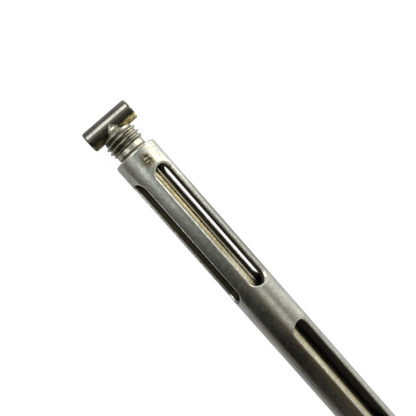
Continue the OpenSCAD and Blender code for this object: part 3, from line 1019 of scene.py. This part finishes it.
# ---------------------------------------------------------------- floor
fm = bpy.data.meshes.new("floor")
S = 3.0
fm.from_pydata([(-S, -S, -0.00002), (S, -S, -0.00002), (S, S, -0.00002), (-S, S, -0.00002)], [], [(0, 1, 2, 3)])
floor = bpy.data.objects.new("floor", fm)
bpy.context.collection.objects.link(floor)
m, nt, b = mat("pale_floor", (0.9, 0.9, 0.9), 0.9, 0.0)
b.inputs["Base Color"].default_value = (0.12, 0.12, 0.12, 1)
b.inputs["Emission Color"].default_value = (1, 1, 1, 1)
b.inputs["Specular IOR Level"].default_value = 0.1
lp = nt.nodes.new("ShaderNodeLightPath")
nn = N(nt)
fx, fy, fz = nn.xyz()
left = nn.math("ADD", nn.range(fx, X0 + 36 * MM, X0 + 42 * MM, 0.06, 0.5, True), nn.range(fx, X0 + 5 * MM, X0 + 14 * MM, 0.38, 0, True))
left = nn.math("SUBTRACT", left, nn.range(fx, X0 + 52 * MM, X0 + 62 * MM, 0, 0.12, True))
far = nn.math("MULTIPLY", nn.range(fy, -0.030, -0.017, 2.2, 0, True), nn.range(fx, X0 + 30 * MM, X0 + 42 * MM, 1, 0, True))
left = nn.math("ADD", left, nn.math("MULTIPLY", far, nn.range(fx, X0 + 4 * MM, X0 + 14 * MM, 0, 1, True)))
right = nn.range(fx, X0 + 6 * MM, X0 + 22 * MM, 2.2, 1.2, True)
side = nn.range(fy, 0.003, 0.022, 0.0, 1.0, True)               # the light comes from the right
side = nn.math("ADD", left, nn.math("MULTIPLY", side, nn.math("SUBTRACT", right, left)))
lit = nt.nodes.new("ShaderNodeMix")
nn.link(lp.outputs["Is Camera Ray"], lit.inputs[0])
nn.link(side, lit.inputs[2])
lit.inputs[3].default_value = 0.93
nn.link(lit.outputs[0], b.inputs["Emission Strength"])
fm.materials.append(m)

# ---------------------------------------------------------------- light
world = bpy.data.worlds.new("studio")
bpy.context.scene.world = world
world.use_nodes = True
nt = world.node_tree
nt.nodes.clear()
wo = nt.nodes.new("ShaderNodeOutputWorld")
bg = nt.nodes.new("ShaderNodeBackground")
nt.links.new(bg.outputs[0], wo.inputs[0])
bg.inputs["Strength"].default_value = 1.0


class W(N):
    def __init__(self, nt):
        self.nt = nt
        self.co = nt.nodes.new("ShaderNodeTexCoord").outputs["Generated"]


w = W(nt)
x, y, z = w.xyz()
beta = w.range(w.math("ARCTAN2", y, z), -pi, pi, 0, 1)   # 0.5 straight up, more to the right
TOP = 5.0
NEUTRAL, COOL, WARM = (1.0, 0.995, 0.93), (0.96, 1.0, 1.0), (1.0, 0.87, 0.65)


def band(table):
    return w.ramp(beta, [((e[0] + 180) / 360, tuple(min(1.0, e[1] * c / TOP) for c in (e[2] if len(e) > 2 else NEUTRAL))) for e in table])


# brightness of the studio around the pencil from the left horizon over the top to the right,
# behind its tail, over its slots and ahead of it
rear = band([(-180, .5), (-112, .3), (-96, .1, COOL), (-80, .09, COOL), (-66, .3), (-52, .6), (-38, 1.2, COOL), (-27, 2.3, COOL), (-18, 2.0, COOL),
             (-8, .8, COOL), (4, .6), (16, .55), (30, .7), (42, 1.2), (52, 2.2), (62, 3.8), (78, 4.2), (92, 4.4), (105, 3.0), (180, 1.0)])
mid = band([(-180, .5), (-112, .3), (-98, .1), (-80, .12), (-60, .14), (-45, .08), (-34, .05), (-24, .05), (-14, .08), (-5, .14),
            (4, .20), (16, .36), (30, .72), (44, .95), (55, 1.4), (68, 1.9), (80, 2.0), (95, 2.0), (110, 1.5), (180, .8)])
fore = band([(-180, .5), (-112, .3), (-100, .02), (-84, .0), (-60, .015), (-36, .010), (-26, .012, WARM), (-12, .11, WARM), (-2, .26, WARM),
             (8, .46), (20, 1.05), (32, .85), (44, .28), (56, .40), (70, .8), (84, 1.0), (98, 1.3), (110, 1.1), (180, .8)])
env = w.mix(w.range(x, -0.08, 0.07, 0, 1, True), rear, mid)
env = w.mix(w.range(x, 0.06, 0.21, 0, 1, True), env, fore)
# the studio as the cross bar sees it, over the tail: a low soft box and a dark ceiling
tail = w.ramp(w.range(x, -1, 0, 0, 1), [(0.0, .03), (0.04, .09), (0.08, .22), (0.13, .42), (0.18, .8), (0.23, 1.0), (0.40, 1.0), (0.47, .72), (0.53, .38),
                                        (0.60, .18), (0.69, .09), (0.85, .04)])
tail = w.mix(1.0, tail, (0.96, 0.99, 1.0), "MULTIPLY")
env = w.mix(w.range(x, -0.26, -0.16, 1, 0, True), env, tail)
wide = w.range(w.math("ABSOLUTE", y), 0.15, 0.45, 0, 1, True)
plain = w.mix(1.0, (0.11, 0.11, 0.105), (1, 1, 1), "MULTIPLY")
lowx = w.range(x, -0.26, -0.16, 1, 0, True)
env = w.mix(w.math("MULTIPLY", wide, lowx), env, plain)
env = w.mix(w.math("MULTIPLY", w.range(x, 0.45, 0.7, 0, 1, True), w.range(w.math("ABSOLUTE", y), 0.1, 0.35, 0, 1, True)), env, plain)
see = nt.nodes.new("ShaderNodeLightPath")
env = w.mix(see.outputs["Is Camera Ray"], env, (1 / TOP, 1 / TOP, 1 / TOP))
w.link(env, bg.inputs["Color"])
bg.inputs["Strength"].default_value = TOP

# ---------------------------------------------------------------- camera
F_PX, D_MM, UF, PHI, TPP = 500.0, 106.502, 10.5907, 0.077134, 19.27
nb = hypot(TPP, F_PX)
cam_data = bpy.data.cameras.new("camera")
cam = bpy.data.objects.new("camera", cam_data)
bpy.context.collection.objects.link(cam)
cam_data.sensor_width = 36
cam_data.lens = 36 * F_PX / 416
cam_data.clip_start = 0.005
cam_data.clip_end = 10
S_ = Vector((cos(PHI), 0, sin(PHI)))
T_ = Vector((-sin(PHI) * TPP / nb, F_PX / nb, cos(PHI) * TPP / nb))
Fw = Vector((sin(PHI) * F_PX / nb, TPP / nb, -cos(PHI) * F_PX / nb))
right = 0.6613 * S_ + 0.7501 * T_
up = -0.7501 * S_ + 0.6613 * T_
back = -Fw
right.normalize()
up = back.cross(right).normalized()
right = up.cross(back).normalized()
from mathutils import Matrix
mw = Matrix(((right[0], up[0], back[0], X0 + UF * MM), (right[1], up[1], back[1], 0),
             (right[2], up[2], back[2], ZC + D_MM * MM), (0, 0, 0, 1)))
cam.matrix_world = mw
bpy.context.scene.camera = cam
bpy.context.scene.view_settings.view_transform = "Standard"
bpy.context.scene.view_settings.look = "None"
